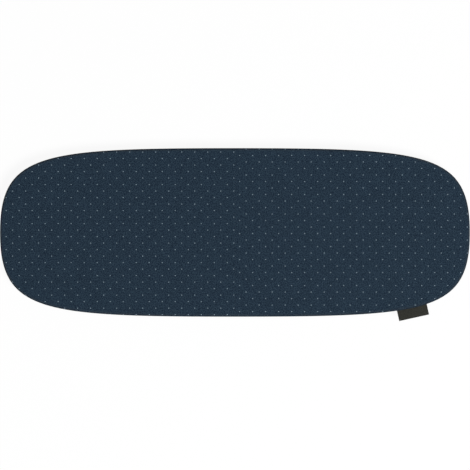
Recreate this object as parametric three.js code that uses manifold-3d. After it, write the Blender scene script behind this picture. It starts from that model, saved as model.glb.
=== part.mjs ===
// Padded ironing board cover for a table-top board, in millimetres, +Z up.
//
// The cover is modelled in its fitted shape, as if the board had just been lifted out of it.
// The origin is the centre of the padded face that lies on the board, X runs along the board
// and Z points to the ironing side. The hem hangs below the origin and is the lowest part.

import * as THREE from 'three';
import { mergeVertices } from 'three/addons/utils/BufferGeometryUtils.js';
import Module from 'manifold-3d';

const wasm = await Module();
wasm.setup();

// Outline seen from above: each quarter is one cubic curve, whose two handles are shares of
// the half length and of the half width.
const coverLength = 814;
const coverWidth = 292;
const sideHandleShare = 0.827;
const endHandleShare = 0.947;

// Layers, from the ironing side down.
const clothThickness = 0.6;
const foamThickness = 4;
const feltThickness = 3;

// The board that the cover is cut for.
const boardThickness = 19;
const boardPlay = 0.5;

// Rounded rim, and the seams that join the cloth.
const rimRadius = 5;
const rimSeamAllowance = 8;
const centreSeamAllowance = 8;

// Skirt: the cloth that runs down the board's edge and turns in under it.
const skirtBendRadius = 6;
const underTurnWidth = 38;

// Where each half of the skirt's side is divided, as shares of a quarter of the outline.
const sideCutShare = 0.29;
const endCutShare = 0.82;

// Hem: a bias binding that grips the skirt's free edge and holds the elastic band.
const bindingThickness = 0.6;
const bindingOverlap = 5;
const elasticWidth = 8;
const elasticThickness = 1.2;

// Side label: a woven ribbon folded double and sewn into the rim seam.
const labelWidth = 53;
const labelReach = 17.6;
const labelRibbonThickness = 0.4;
const labelPlaceShare = 0.4415;

// Clearance between neighbouring pieces, and how far a cutting body runs past what it cuts.
const layerGap = 0.3;
const overrun = 12;

// Facets.
const stationsPerQuarter = 20;
const rimSteps = 4;
const bendSteps = 3;
const foldSteps = 4;

// Heights, measured from the padded face that lies on the board.
const foamBottom = feltThickness + layerGap;
const foamTop = foamBottom + foamThickness;
const coverTop = foamTop + layerGap + clothThickness;
const rimCurve = Math.min(rimRadius, coverTop);
const rimCentre = coverTop - rimCurve;
const skirtTop = clothThickness;
const panelHem = skirtTop + layerGap;
const rebateTop = panelHem + clothThickness + layerGap;
const labelHeight = (panelHem + skirtTop) / 2;
const bindingHeight = 2 * (bindingThickness + layerGap) + elasticThickness;
const bindingTop = -boardThickness - boardPlay;
const bindingBottom = bindingTop - bindingHeight;
const hemMiddle = (bindingTop + bindingBottom) / 2;
const skirtBottom = hemMiddle - clothThickness / 2;
const skirtBend = Math.min(skirtBendRadius, -skirtBottom / 2);
const bendTop = skirtBottom + skirtBend;

// Insets, measured inwards from the outline.
const padInset = clothThickness + layerGap;
const elasticStart = underTurnWidth + layerGap;
const elasticEnd = elasticStart + elasticWidth;
const bindingStart = underTurnWidth - bindingOverlap;

const quarter = new THREE.CubicBezierCurve(
  new THREE.Vector2(0, coverWidth / 2),
  new THREE.Vector2((sideHandleShare * coverLength) / 2, coverWidth / 2),
  new THREE.Vector2(coverLength / 2, (endHandleShare * coverWidth) / 2),
  new THREE.Vector2(coverLength / 2, 0),
);

// A point of the outline in the quarter that the two signs name, with its outward normal.
function outlinePoint(share, signX, signY) {
  const point = quarter.getPoint(share);
  const along = quarter.getTangent(share);
  return {
    point: new THREE.Vector2(signX * point.x, signY * point.y),
    normal: new THREE.Vector2(-signX * along.y, signY * along.x),
  };
}

// The whole outline, clockwise from the middle of the far side.
function outlineStations() {
  const stations = [];
  const quarters = [[1, 1, false], [1, -1, true], [-1, -1, false], [-1, 1, true]];
  for (const [signX, signY, backwards] of quarters) {
    for (let k = 0; k < stationsPerQuarter; k++) {
      const share = (backwards ? stationsPerQuarter - k : k) / stationsPerQuarter;
      stations.push(outlinePoint(share, signX, signY));
    }
  }
  return stations;
}

const stations = outlineStations();

function ringAt(inset) {
  return stations.map(({ point, normal }) => point.clone().addScaledVector(normal, -inset));
}

// Triangles of a flat plate inside a ring, facing up or down.
function plateTriangles(ring, first, facesUp) {
  return THREE.ShapeUtils.triangulateShape(ring, []).flatMap(([a, b, c]) => {
    const turn = ring[b].clone().sub(ring[a]).cross(ring[c].clone().sub(ring[a]));
    const corners = turn > 0 === facesUp ? [a, b, c] : [a, c, b];
    return corners.map((corner) => first + corner);
  });
}

// A body that follows the outline. The section is a list of [inset, height] that runs down its
// outside. A tube's section closes on itself, and a slab's ends in an upper and a lower plate.
function followOutline(section, isTube) {
  const positions = [];
  const indices = [];
  const rings = section.map(([inset]) => ringAt(inset));
  rings.forEach((ring, j) => ring.forEach((p) => positions.push(p.x, p.y, section[j][1])));
  const count = stations.length;
  const last = section.length - 1;
  for (let j = 0; j < (isTube ? section.length : last); j++) {
    const below = ((j + 1) % section.length) * count;
    for (let i = 0; i < count; i++) {
      const next = (i + 1) % count;
      indices.push(j * count + i, j * count + next, below + next);
      indices.push(j * count + i, below + next, below + i);
    }
  }
  if (!isTube) {
    indices.push(...plateTriangles(rings[0], 0, true));
    indices.push(...plateTriangles(rings[last], last * count, false));
  }
  const geometry = new THREE.BufferGeometry();
  geometry.setAttribute('position', new THREE.Float32BufferAttribute(positions, 3));
  geometry.setIndex(indices);
  return geometry;
}

// Points of an arc in a section, as [inset, height], from one angle to another in degrees.
// Angle 0 points inwards and 90 points up.
function arc(centre, height, radius, from, to, steps) {
  return Array.from({ length: steps + 1 }, (_, k) => {
    const angle = THREE.MathUtils.degToRad(from + ((to - from) * k) / steps);
    return [centre + radius * Math.cos(angle), height + radius * Math.sin(angle)];
  });
}

function toSolid(geometry) {
  const bare = geometry.clone();
  bare.deleteAttribute('normal');
  bare.deleteAttribute('uv');
  const merged = mergeVertices(bare);
  return new wasm.Manifold(new wasm.Mesh({
    numProp: 3,
    vertProperties: new Float32Array(merged.attributes.position.array),
    triVerts: new Uint32Array(merged.index.array),
  }));
}

function toGeometry(solid) {
  const mesh = solid.getMesh();
  const geometry = new THREE.BufferGeometry();
  geometry.setAttribute('position', new THREE.Float32BufferAttribute(mesh.vertProperties, 3));
  geometry.setIndex(Array.from(mesh.triVerts));
  return geometry;
}

function boxBetween(low, high) {
  const size = new THREE.Vector3().subVectors(high, low);
  const middle = new THREE.Vector3().addVectors(low, high).divideScalar(2);
  return new THREE.BoxGeometry(size.x, size.y, size.z).translate(middle.x, middle.y, middle.z);
}

// Reach of the cutting bodies past the outline, seen from above.
const pastLength = coverLength / 2 + overrun;
const pastWidth = coverWidth / 2 + overrun;

// The part of a body between two distances from the centre seam and two widths, side being 1
// for right and -1 for left. Half the clearance stays free at each cut.
function partOf(body, side, [nearX, farX], [lowY, highY]) {
  const near = side * (nearX + layerGap / 2);
  const far = side * (farX - layerGap / 2);
  const keep = boxBetween(
    new THREE.Vector3(Math.min(near, far), lowY + layerGap / 2, bindingBottom - overrun),
    new THREE.Vector3(Math.max(near, far), highY - layerGap / 2, coverTop + overrun),
  );
  return toSolid(body).intersect(toSolid(keep));
}

// The half of a body on one side of the centre seam.
function halfOf(body, side) {
  return partOf(body, side, [0, pastLength], [-pastWidth, pastWidth]);
}

// Dotted cotton face: flat on top, rounded over the rim and turned in at the rim seam.
function topCloth() {
  const bend = rimCurve - clothThickness;
  return followOutline([
    ...arc(rimCurve, rimCentre, rimCurve, 90, 180, rimSteps),
    [0, panelHem],
    [rimSeamAllowance, panelHem],
    [rimSeamAllowance, panelHem + clothThickness],
    [clothThickness, panelHem + clothThickness],
    ...arc(rimCurve, rimCentre, bend, 180, 90, rimSteps),
  ], false);
}

// Length of the centre seam's turned-in edges, which stop before the rim's curve.
const centreSeamLength = coverWidth - 2 * (rimCurve + layerGap);
const allowanceTop = coverTop - clothThickness - layerGap;
const allowanceBottom = allowanceTop - clothThickness;

// The cloth at the centre seam, folded down and back under its own panel.
function centreAllowance(side) {
  const near = (side * layerGap) / 2;
  const fold = near + side * clothThickness;
  const edge = near + side * centreSeamAllowance;
  const section = new THREE.Shape([
    new THREE.Vector2(near, coverTop - clothThickness / 2),
    new THREE.Vector2(near, allowanceBottom),
    new THREE.Vector2(edge, allowanceBottom),
    new THREE.Vector2(edge, allowanceTop),
    new THREE.Vector2(fold, allowanceTop),
    new THREE.Vector2(fold, coverTop - clothThickness / 2),
  ]);
  const strip = new THREE.ExtrudeGeometry(section, {
    depth: centreSeamLength,
    bevelEnabled: false,
  });
  return strip.rotateX(Math.PI / 2).translate(0, centreSeamLength / 2, 0);
}

function topPanel(side) {
  return toGeometry(halfOf(topCloth(), side).add(toSolid(centreAllowance(side))));
}

// Side of a pad between two heights: it follows the inside of the rounded rim.
function padSide(low, high) {
  if (high <= rimCentre) {
    return [[padInset, high], [padInset, low]];
  }
  const radius = rimCurve - padInset;
  const angleAt = (height) => {
    const rise = THREE.MathUtils.clamp((height - rimCentre) / radius, 0, 1);
    return 180 - THREE.MathUtils.radToDeg(Math.asin(rise));
  };
  const curve = arc(rimCurve, rimCentre, radius, angleAt(high), angleAt(low), rimSteps);
  return low < rimCentre ? [...curve, [padInset, low]] : curve;
}

// Foam: carries the ironing pressure, and gives way where the centre seam's edges lie.
function foamPad() {
  const halfGroove = layerGap / 2 + centreSeamAllowance + layerGap;
  const halfLength = centreSeamLength / 2 + layerGap;
  const groove = boxBetween(
    new THREE.Vector3(-halfGroove, -halfLength, allowanceBottom - layerGap),
    new THREE.Vector3(halfGroove, halfLength, coverTop),
  );
  const foam = followOutline(padSide(foamBottom, foamTop), false);
  return toGeometry(toSolid(foam).subtract(toSolid(groove)));
}

// Needled felt: the face that lies on the board. The rim seam's turned-in edges press into it,
// so they lie in a rebate round its lower edge and the board can lie flat against the rest.
function feltPad() {
  const rebate = rimSeamAllowance + layerGap;
  return followOutline([
    ...padSide(rebateTop, feltThickness),
    [rebate, rebateTop],
    [rebate, 0],
  ], false);
}

// Edge of the skirt's cloth that is turned in at the rim seam.
function skirtSeam() {
  return followOutline([
    [0, skirtTop],
    [0, skirtTop - clothThickness],
    [rimSeamAllowance, skirtTop - clothThickness],
    [rimSeamAllowance, skirtTop],
  ], true);
}

// The bend round the board's lower edge belongs partly to the side and partly to the
// underturn. They meet at the first facet of the bend.
const bendCut = 180 + 90 / bendSteps;
const halfBendGap = THREE.MathUtils.radToDeg(layerGap / skirtBend) / 2;

// Side of the skirt, which runs down the board's edge.
function skirtSide() {
  const end = bendCut - halfBendGap;
  return followOutline([
    [0, -layerGap],
    ...arc(skirtBend, bendTop, skirtBend, 180, end, 1),
    ...arc(skirtBend, bendTop, skirtBend - clothThickness, end, 180, 1),
    [clothThickness, -layerGap],
  ], true);
}

// The rest of the same cloth: round the bend and flat under the board as far as the binding.
function skirtUnderturn() {
  const start = bendCut + halfBendGap;
  return followOutline([
    ...arc(skirtBend, bendTop, skirtBend, start, 270, bendSteps - 1),
    [underTurnWidth, skirtBottom],
    [underTurnWidth, skirtBottom + clothThickness],
    ...arc(skirtBend, bendTop, skirtBend - clothThickness, 270, start, bendSteps - 1),
  ], true);
}

// Binding: folded round the elastic, with both its leaves sewn to the skirt's edge.
function hemBinding() {
  const outer = bindingHeight / 2;
  const inner = outer - bindingThickness;
  return followOutline([
    [bindingStart, hemMiddle + outer],
    [bindingStart, hemMiddle + inner],
    ...arc(elasticEnd, hemMiddle, inner, 90, -90, foldSteps),
    [bindingStart, hemMiddle - inner],
    [bindingStart, hemMiddle - outer],
    ...arc(elasticEnd, hemMiddle, outer, -90, 90, foldSteps),
  ], true);
}

function hemElastic() {
  const half = elasticThickness / 2;
  return followOutline([
    [elasticStart, hemMiddle + half],
    [elasticStart, hemMiddle - half],
    [elasticEnd, hemMiddle - half],
    [elasticEnd, hemMiddle + half],
  ], true);
}

// Place of the label on the rim: X along the rim, Y outwards and Z up.
const labelStation = outlinePoint(labelPlaceShare, 1, -1);
const labelPosition = new THREE.Vector3(labelStation.point.x, labelStation.point.y, labelHeight);
const labelTurn = Math.atan2(-labelStation.normal.x, labelStation.normal.y);

// Label: two layers of ribbon joined by the fold at the outer edge. Its sewn edge follows the
// rim, so the rim's outline, grown by the clearance, is cut out of it.
function edgeLabel() {
  const innerRadius = layerGap / 2;
  const outerRadius = innerRadius + labelRibbonThickness;
  const foldCentre = labelReach - outerRadius;
  const section = [
    [-overrun, outerRadius],
    [-overrun, innerRadius],
    ...arc(foldCentre, 0, innerRadius, 90, -90, foldSteps),
    [-overrun, -innerRadius],
    [-overrun, -outerRadius],
    ...arc(foldCentre, 0, outerRadius, -90, 90, foldSteps),
  ];
  const shape = new THREE.Shape(section.map(([reach, height]) => new THREE.Vector2(reach, height)));
  const ribbon = new THREE.ExtrudeGeometry(shape, { depth: labelWidth, bevelEnabled: false });
  ribbon.translate(0, 0, -labelWidth / 2).rotateX(Math.PI / 2).rotateZ(Math.PI / 2);
  const rim = new THREE.ExtrudeGeometry(new THREE.Shape(ringAt(-layerGap)), {
    depth: 2 * overrun,
    bevelEnabled: false,
  });
  rim.translate(-labelPosition.x, -labelPosition.y, -overrun).rotateZ(-labelTurn);
  return toGeometry(toSolid(ribbon).subtract(toSolid(rim)));
}

// Finishes.
function finish(color, roughness) {
  return new THREE.MeshStandardMaterial({ color, roughness, metalness: 0, flatShading: true });
}

const navyCotton = finish('#263542', 0.9);
const foamFinish = finish('#d8d6cf', 0.95);
const feltFinish = finish('#c9c7c0', 1);
const bindingFinish = finish('#1f2b37', 0.9);
const elasticFinish = finish('#e6e4de', 0.85);
const labelFinish = finish('#35352f', 0.8);

const cover = new THREE.Group();

function addPiece(name, geometry, material) {
  const piece = new THREE.Mesh(geometry, material);
  piece.name = name;
  cover.add(piece);
  return piece;
}

addPiece('left_top_panel', topPanel(-1), navyCotton);
addPiece('right_top_panel', topPanel(1), navyCotton);
addPiece('foam_pad', foamPad(), foamFinish);
addPiece('felt_pad', feltPad(), feltFinish);

// Each half of the skirt is one piece of cloth. Its turned-in edge, side and underturn are
// separate solids, and the side is divided where the outline turns most, so that its convex
// hulls leave the board's room open.
const sideCut = quarter.getPoint(sideCutShare).x;
const endCut = quarter.getPoint(endCutShare).y;
const sideParts = {
  far: [[0, sideCut], [0, pastWidth]],
  far_corner: [[sideCut, pastLength], [endCut, pastWidth]],
  end: [[sideCut, pastLength], [-endCut, endCut]],
  near_corner: [[sideCut, pastLength], [-pastWidth, -endCut]],
  near: [[0, sideCut], [-pastWidth, 0]],
};
for (const [name, side] of [['left', -1], ['right', 1]]) {
  addPiece(`${name}_skirt_seam`, toGeometry(halfOf(skirtSeam(), side)), navyCotton);
  for (const [place, [alongX, alongY]] of Object.entries(sideParts)) {
    const strip = partOf(skirtSide(), side, alongX, alongY);
    addPiece(`${name}_skirt_${place}`, toGeometry(strip), navyCotton);
  }
  addPiece(`${name}_skirt_underturn`, toGeometry(halfOf(skirtUnderturn(), side)), navyCotton);
}

addPiece('hem_binding', hemBinding(), bindingFinish);
addPiece('hem_elastic', hemElastic(), elasticFinish);

const label = addPiece('edge_label', edgeLabel(), labelFinish);
label.position.copy(labelPosition);
label.rotation.z = labelTurn;

export default cover;
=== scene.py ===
# %% [markdown]
# # A padded cover for a table-top ironing board
# The cover is a flat oval pad with a skirt. Navy cotton with small pale pin dots lies over
# foam and felt, and an elastic hem draws the skirt in under the board. The CAD model gives
# every piece its size and place, and the label its hinge. This script gives each piece its
# cloth form and its finish, in the same frame and in metres.

import math

import bpy
import numpy as np
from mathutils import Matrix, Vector


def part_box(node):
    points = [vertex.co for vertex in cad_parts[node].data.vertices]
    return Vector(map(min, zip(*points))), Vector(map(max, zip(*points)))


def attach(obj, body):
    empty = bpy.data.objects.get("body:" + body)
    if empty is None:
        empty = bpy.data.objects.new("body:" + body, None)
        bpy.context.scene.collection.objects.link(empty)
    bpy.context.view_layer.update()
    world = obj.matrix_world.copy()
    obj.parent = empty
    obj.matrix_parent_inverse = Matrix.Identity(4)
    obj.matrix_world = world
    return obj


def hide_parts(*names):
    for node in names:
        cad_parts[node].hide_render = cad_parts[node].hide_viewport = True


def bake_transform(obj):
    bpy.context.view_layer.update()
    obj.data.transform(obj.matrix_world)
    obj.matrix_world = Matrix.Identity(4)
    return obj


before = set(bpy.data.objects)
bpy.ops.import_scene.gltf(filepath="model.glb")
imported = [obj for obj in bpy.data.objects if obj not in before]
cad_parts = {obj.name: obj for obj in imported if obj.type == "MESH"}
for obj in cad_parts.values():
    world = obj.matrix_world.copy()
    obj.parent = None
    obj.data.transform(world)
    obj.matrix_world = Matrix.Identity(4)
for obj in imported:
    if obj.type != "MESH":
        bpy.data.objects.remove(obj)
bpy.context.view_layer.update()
MM = 0.001
SKIRT_PARTS = ("seam", "far", "far_corner", "end", "near_corner", "near", "underturn")

# %% [markdown]
# ## Heights and widths
# Every layer has its place already, so the heights are read off the CAD nodes. Only sizes
# that a node's box can't tell, such as a radius, are written here.

# %% Read the layers' places
def heights(node):
    """Lowest and highest place of a CAD node."""
    low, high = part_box(node)
    return low.z, high.z


def inset_of(node):
    """How far in from the outline a CAD node's far side lies."""
    return HALF_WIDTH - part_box(node)[1].y


HALF_LENGTH, HALF_WIDTH, COVER_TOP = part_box("right_top_panel")[1]
RIM_SEAM = (heights("right_top_panel")[0] + heights("right_skirt_seam")[1]) / 2
SKIRT_BOTTOM = heights("right_skirt_underturn")[0]
FOAM_LOW, FOAM_HIGH = heights("foam_pad")
FELT_LOW, FELT_HIGH = heights("felt_pad")
HEM_LOW, HEM_HIGH = heights("hem_binding")
BAND_LOW, BAND_HIGH = heights("hem_elastic")
PAD_INSET = inset_of("foam_pad")
HEM_START = inset_of("hem_binding")
BAND_START = inset_of("hem_elastic")
BAND_WIDTH = 8 * MM
BAND_END = BAND_START + BAND_WIDTH
CLOTH = 0.6 * MM
RIM_RADIUS = 3.6 * MM
BEND_RADIUS = 6 * MM
SEAM_EDGE = 8 * MM
UNDERTURN = 38 * MM
print("top", round(COVER_TOP / MM, 2), "seam", round(RIM_SEAM / MM, 2),
      "bottom", round(HEM_LOW / MM, 2), "mm")

# %% [markdown]
# ## The outline
# Seen from above, each quarter of the cover is one cubic curve. Cloth is measured with a
# tape, so the way along the curve is added up. Every later piece asks for points by their
# distance along the rim, clockwise from the middle of the far side.

# %% Walk round the outline
SIDE_HANDLE_SHARE = 0.827
END_HANDLE_SHARE = 0.947
OUTLINE_STEPS = 1500


def quarter_point(share):
    """A place on one quarter, from the middle of the far side to the right-hand end."""
    share = np.asarray(share, float)[..., None]
    handles = np.array([
        (0, HALF_WIDTH),
        (SIDE_HANDLE_SHARE * HALF_LENGTH, HALF_WIDTH),
        (HALF_LENGTH, END_HANDLE_SHARE * HALF_WIDTH),
        (HALF_LENGTH, 0),
    ])
    rest = 1 - share
    return (rest**3 * handles[0] + 3 * rest**2 * share * handles[1]
            + 3 * rest * share**2 * handles[2] + share**3 * handles[3])


def travelled(points):
    """Distance along a line of points, at each of them."""
    steps = np.linalg.norm(np.diff(points, axis=0), axis=1)
    return np.concatenate([[0], np.cumsum(steps)])


quarter = quarter_point(np.linspace(0, 1, OUTLINE_STEPS + 1))
right_half = np.concatenate([quarter[:-1], quarter[::-1] * (1, -1)])
outline = np.concatenate([right_half[:-1], -right_half])
outline_run = travelled(outline)
PERIMETER = outline_run[-1]
headings = np.roll(outline[:-1], -1, axis=0) - np.roll(outline[:-1], 1, axis=0)
headings /= np.linalg.norm(headings, axis=1)[:, None]
headings = np.concatenate([headings, headings[:1]])


def on_rim(along):
    """Point and outward direction at a distance along the rim."""
    place = np.mod(along, PERIMETER)
    point, heading = (
        np.stack([np.interp(place, outline_run, table[:, k]) for k in (0, 1)], -1)
        for table in (outline, headings))
    heading /= np.linalg.norm(heading, axis=-1)[..., None]
    return point, np.stack([-heading[..., 1], heading[..., 0]], -1)


print("outline", round(PERIMETER, 3), "m round")

# %% [markdown]
# ## How sharply the rim turns
# Cloth that follows a straight side lies smooth. Round an end it has to be eased in at the
# seam and gathered at the hem, so a weight between 0 and 1 says how sharp the turn is.

# %% Weigh the turns
SHARPEST = 9.0
SMOOTHING = 18 * MM
SMOOTHING_POINTS = 9
TURN_STEP = 2 * MM
SLOW_WAVES = (3, 5, 8, 13, 21)
SLOW_STRENGTH = (0.7, 1.6)
SLOW_SHIFT = (0, 6)


def turn_weight(along):
    """How sharply the rim turns, averaged over a short stretch."""
    total = 0
    for shift in np.linspace(-SMOOTHING, SMOOTHING, SMOOTHING_POINTS):
        ahead = on_rim(along + shift + TURN_STEP)[1]
        behind = on_rim(along + shift - TURN_STEP)[1]
        cross = ahead[..., 0] * behind[..., 1] - ahead[..., 1] * behind[..., 0]
        total = total + np.abs(np.arcsin(np.clip(cross, -1, 1))) / (2 * TURN_STEP)
    return np.clip(total / SMOOTHING_POINTS / SHARPEST, 0, 1)


def smooth_step(value, low, high):
    share = np.clip((value - low) / (high - low), 0, 1)
    return share * share * (3 - 2 * share)


def ripple(along, waves, seed):
    """A wave from 0 to 1 round the rim. Its length varies, and it closes on itself."""
    chance = np.random.default_rng(seed)
    angle = 2 * math.pi * np.asarray(along) / PERIMETER
    phase = waves * angle
    for slow in SLOW_WAVES:
        strength, shift = chance.uniform(*SLOW_STRENGTH), chance.uniform(*SLOW_SHIFT)
        phase = phase + strength * np.sin(slow * angle + shift)
    return 0.5 + 0.5 * np.sin(phase)


print("turn weight at an end", turn_weight(np.array([PERIMETER / 4])).round(2))

# %% [markdown]
# ## Sections
# A tailor draws what a seam looks like when it is cut through. Here such a section is a
# line of corners, each with its rounding, given as distance in from the outline and height.
# The corners become short arcs, so that a fold in cloth never has a sharp edge.

# %% Draw a section
ARC_STEP_DEGREES = 15
STRAIGHT = 1e-3


def unit(vector):
    return vector / np.linalg.norm(vector)


def rounded_section(corners):
    """corners: (inset, height, radius). Returns the line's points."""
    line = [np.array(corners[0][:2], float)]
    for before, corner, after in zip(corners, corners[1:], corners[2:]):
        here = np.array(corner[:2], float)
        back, ahead = unit(np.array(before[:2]) - here), unit(np.array(after[:2]) - here)
        radius = corner[2]
        turn = math.pi - math.acos(np.clip(back @ ahead, -1, 1))
        if radius == 0 or turn < STRAIGHT:
            line.append(here)
            continue
        centre = here + unit(back + ahead) * (radius / math.cos(turn / 2))
        first = here + back * radius * math.tan(turn / 2) - centre
        steps = max(2, math.ceil(math.degrees(turn) / ARC_STEP_DEGREES))
        spin = math.copysign(turn / steps, back[1] * ahead[0] - back[0] * ahead[1])
        for k in range(steps + 1):
            c, s = math.cos(k * spin), math.sin(k * spin)
            line.append(centre + (c * first[0] - s * first[1], s * first[0] + c * first[1]))
    line.append(np.array(corners[-1][:2], float))
    return np.array(line)


def section_runs(line, longest):
    """Distances along a section for the rows of a grid: every point, and no long steps."""
    marks = travelled(line)
    runs = [0.0]
    for low, high in zip(marks, marks[1:]):
        pieces = max(1, math.ceil((high - low) / longest))
        runs.extend(low + (high - low) * (k + 1) / pieces for k in range(pieces))
    return np.array(runs)


print("a rounded right angle has",
      len(rounded_section([(0, 2, 0), (0, 0, 1), (2, 0, 0)])), "points")

# %% [markdown]
# ## Small helpers for node trees
# Geometry and shader trees are long lists of nodes and links. A few helpers add a node, set
# it and join its inputs, so that the trees below read from top to bottom. Every geometry
# tree ends in real geometry with its material.

# %% Build nodes in one line
def add_node(tree, kind, sources=None, **settings):
    """Adds a node. Each of its sources is a value, or a socket to link."""
    node = tree.nodes.new(kind)
    for key, value in settings.items():
        setattr(node, key, value)
    for key, source in (sources or {}).items():
        if isinstance(source, bpy.types.NodeSocket):
            tree.links.new(source, node.inputs[key])
        else:
            node.inputs[key].default_value = source
    return node


def do_math(tree, operation, *values):
    return add_node(tree, "ShaderNodeMath", dict(enumerate(values)), operation=operation).outputs[0]


def multiply(tree, first, second):
    return do_math(tree, "MULTIPLY", first, second)


def split(tree, vector):
    return add_node(tree, "ShaderNodeSeparateXYZ", {0: vector}).outputs


def combine(tree, **parts):
    return add_node(tree, "ShaderNodeCombineXYZ", parts).outputs[0]


def map_range(tree, value, low, high, start=0.0, end=1.0, **settings):
    return add_node(tree, "ShaderNodeMapRange", {
        "Value": value, "From Min": low, "From Max": high, "To Min": start, "To Max": end},
        **settings).outputs["Result"]


def new_tree(name, kind, inputs, outputs):
    tree = bpy.data.node_groups.new(name, kind)
    for direction, sockets in (("INPUT", inputs), ("OUTPUT", outputs)):
        for title, socket, *start in sockets:
            made = tree.interface.new_socket(
                title, in_out=direction, socket_type="NodeSocket" + socket)
            if start:
                made.default_value = start[0]
    return tree, tree.nodes.new("NodeGroupInput").outputs, tree.nodes.new("NodeGroupOutput").inputs


def end_tree(tree, shape, finish, result):
    """Real geometry with its material, as every geometry tree here ends."""
    real = add_node(tree, "GeometryNodeRealizeInstances", {"Geometry": shape})
    dressed = add_node(tree, "GeometryNodeSetMaterial", {
        "Geometry": real.outputs[0], "Material": finish})
    tree.links.new(dressed.outputs[0], result[0])


print("helpers ready")

# %% [markdown]
# ## One tree that lays cloth along the rim
# Face, pads, skirt, binding and elastic all follow the same outline and differ only in
# their section. So the main shape is a rule, and geometry nodes apply it. A piece starts
# as a flat grid. Each point knows its place on the rim, the outward direction there, and
# how far along the section it lies. The tree samples the section curve at that distance
# and puts the point there. Lift moves a point into the cover, square to the cloth, and
# rise moves it straight up, which makes puckers and gathers.

# %% Build the tree that follows the rim
def build_rim_tree():
    tree, given, result = new_tree(
        "Follow the rim", "GeometryNodeTree",
        [("Geometry", "Geometry"), ("Section", "Object"), ("Fullness", "Float", 1.0),
         ("Finish", "Material")],
        [("Geometry", "Geometry")])

    def known(name, kind="FLOAT"):
        return add_node(tree, "GeometryNodeInputNamedAttribute", {"Name": name},
                        data_type=kind).outputs["Attribute"]

    section = add_node(tree, "GeometryNodeObjectInfo", {"Object": given["Section"]})
    sample = add_node(tree, "GeometryNodeSampleCurve", {
        "Curves": section.outputs["Geometry"], "Length": known("run")}, mode="LENGTH")
    place = split(tree, sample.outputs["Position"])
    heading = split(tree, sample.outputs["Tangent"])
    lift = multiply(tree, known("lift"), given["Fullness"])
    rise = multiply(tree, known("rise"), given["Fullness"])
    inset = do_math(tree, "SUBTRACT", place["X"], multiply(tree, lift, heading["Z"]))
    height = do_math(tree, "ADD", place["Z"], multiply(tree, lift, heading["X"]))
    inwards = add_node(tree, "ShaderNodeVectorMath", {
        0: known("outward", "FLOAT_VECTOR"), "Scale": multiply(tree, inset, -1.0)},
        operation="SCALE").outputs[0]
    upwards = combine(tree, Z=do_math(tree, "ADD", height, rise))
    spot = known("rim", "FLOAT_VECTOR")
    for step in (inwards, upwards):
        spot = add_node(tree, "ShaderNodeVectorMath", {0: spot, 1: step},
                        operation="ADD").outputs[0]
    laid = add_node(tree, "GeometryNodeSetPosition", {
        "Geometry": given["Geometry"], "Position": spot})
    end_tree(tree, laid.outputs[0], given["Finish"], result)
    return tree


rim_tree = build_rim_tree()
print("rim tree", len(rim_tree.nodes), "nodes")

# %% [markdown]
# ## Grids
# A layer is a grid. Its columns stand round the rim and its rows follow it. On the flat
# part the columns run from the rim to a line down the middle of the pad, which ends short
# of the round ends. Near the centre seam they lie alongside it, as threads do.

# %% Lay out the rows and columns
MIDDLE_LINE = 276 * MM
FLAT_ROW_STEP = 6.0 * MM


def middle_of(point):
    """Where the column through a rim point ends on the pad's middle line."""
    x = point[..., 0]
    pull = (HALF_LENGTH - MIDDLE_LINE) * (np.abs(x) / HALF_LENGTH) ** 3
    return np.stack([x - np.sign(x) * pull, np.zeros_like(x)], -1)


def flat_rows(along, border_inset, spacing):
    """Points of the flat part, from the middle line out to the border."""
    point, outward = on_rim(along)
    border = point - outward * border_inset
    count = math.ceil(HALF_WIDTH / spacing)
    share = np.linspace(0, 1, count + 1)[None, :-1, None]
    inner = middle_of(point)[:, None]
    return inner + (border[:, None] - inner) * share


def rim_fields(along, runs, top=None, bottom=None):
    """Rim point, outward direction and run at every grid point, flat rows included."""
    point, outward = on_rim(along)
    nothing = np.zeros((len(along), 0, 2))
    top = nothing if top is None else top
    bottom = nothing if bottom is None else bottom
    rows = len(runs)
    return {
        "rim": np.concatenate([top, np.repeat(point[:, None], rows, 1), bottom], 1),
        "outward": np.concatenate([0 * top, np.repeat(outward[:, None], rows, 1), 0 * bottom], 1),
        "run": np.concatenate([0 * top[..., 0], np.repeat(runs[None], len(along), 0),
                               0 * bottom[..., 0] + runs[-1]], 1),
    }


def grid_faces(columns, rows, first=0, across=False):
    """Quads of a grid. across joins the last row to the first, as in a tube."""
    column, row = np.meshgrid(np.arange(columns - 1), np.arange(rows - (not across)), indexing="ij")
    below = (row + 1) % rows
    quads = np.stack([column * rows + row, (column + 1) * rows + row,
                      (column + 1) * rows + below, column * rows + below], -1)
    return quads.reshape(-1, 4) + first


print("flat rows", flat_rows(np.zeros(1), 0, FLAT_ROW_STEP).shape[1])

# %% [markdown]
# ## From a grid to a finished piece
# The grid becomes a mesh with its attributes. The tree and, for cloth, a Solidify modifier
# work on it, and the result is kept as a plain mesh with its modifiers taken off. Then the
# piece is put in the place of its CAD nodes.

# %% Make a piece out of a grid
WELD = 0.002 * MM


def link_object(name, data):
    thing = bpy.data.objects.new(name, data)
    bpy.context.scene.collection.objects.link(thing)
    return thing


def flattened(grid):
    return grid.reshape(-1, 2) if grid.ndim == 3 else grid.ravel()


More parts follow.
